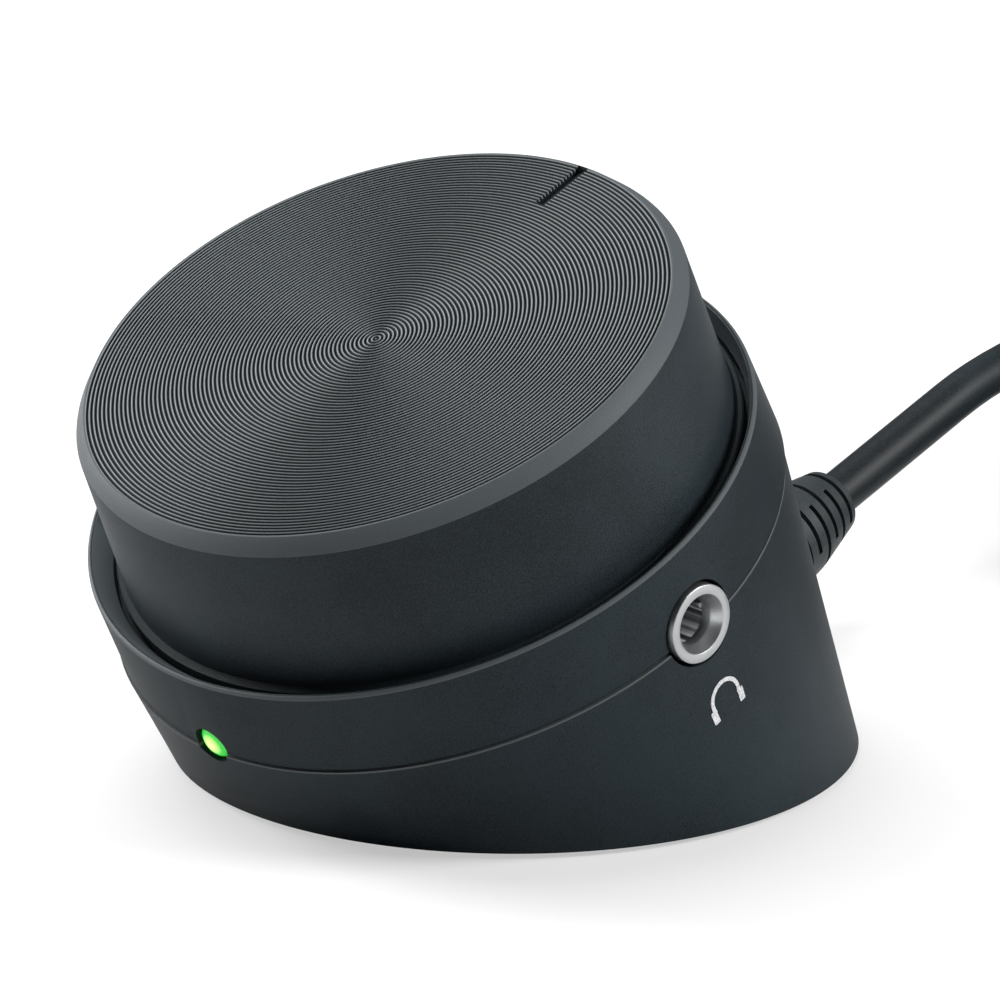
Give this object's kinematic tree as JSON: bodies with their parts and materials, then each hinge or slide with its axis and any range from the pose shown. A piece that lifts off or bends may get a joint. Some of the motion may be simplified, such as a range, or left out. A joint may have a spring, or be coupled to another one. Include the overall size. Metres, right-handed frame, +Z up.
{
  "type": "desktop volume control",
  "caption": "Wired desktop volume control with a large grooved knob on a leaning round base, a headphone jack, a power light and a coiled cable with a round plug.",
  "frame": {"origin": "centre of the base's footprint, on the desk", "axes": "+Z up, +Y towards the cable at the back, +X towards the headphone jack"},
  "size_m": [0.0848, 0.1596, 0.0461],
  "materials": {
    "shell_plastic": "fine matte grain, charcoal",
    "knob_plastic": "fine matte grain with turned concentric grooves",
    "black_rubber": "soft matte",
    "cable_jacket": "smooth satin PVC",
    "bright_ring": "turned bright nickel",
    "steel": "zinc plated",
    "brass": "machined",
    "contact_gold": "plated spring",
    "pot_metal": "stamped",
    "carbon_track": "phenolic with carbon film",
    "board_green": "solder mask",
    "chip_black": "moulded epoxy",
    "capacitor_sleeve": "shrink sleeve",
    "white_plastic": "nylon",
    "wire_insulation": "PVC",
    "black_plastic": "moulded",
    "light_lens": "clear, lit green",
    "plug_rubber": "overmoulded, matte"
  },
  "bodies": {
    "base": {"upper_shell": "shell_plastic", "lower_shell": "shell_plastic", "rubber_ring": "black_rubber", "ballast_plate": "steel", "case_screws": "steel", "pot_housing": "pot_metal", "pot_track": "carbon_track", "pot_bushing": "brass", "pot_washer": "steel", "pot_nut": "steel", "main_board": "board_green", "board_screws": "steel", "board_chips": "chip_black", "board_resistors": "chip_black", "board_capacitors": "capacitor_sleeve", "wire_socket": "white_plastic", "wire_plug": "white_plastic", "inner_wires": "wire_insulation", "jack_ring": "bright_ring", "jack_body": "black_plastic", "jack_contacts": "contact_gold", "light_pipe": "light_lens", "light_emitter": "light_lens", "light_holder": "black_plastic", "strain_relief": "black_rubber", "cable_sheath": "cable_jacket", "cable_crimp": "steel", "cable_run": "cable_jacket", "cable_coil": "cable_jacket", "cable_tail": "cable_jacket", "coil_tie": "black_plastic", "plug_grip": "plug_rubber", "plug_shell": "steel", "plug_core": "black_plastic", "plug_pins": "contact_gold"},
    "knob": {"knob_cap": "knob_plastic", "knob_hub": "black_plastic", "pot_shaft": "steel", "pot_rotor": "black_plastic"}
  },
  "joints": [
    {"name": "knob_turn", "type": "hinge", "parent": "base", "child": "knob", "pos_m": [0, -0.0161, 0.03505], "axis": [0, -0.4344, 0.9007], "range_deg": [-141.4, 158.6]}
  ]
}
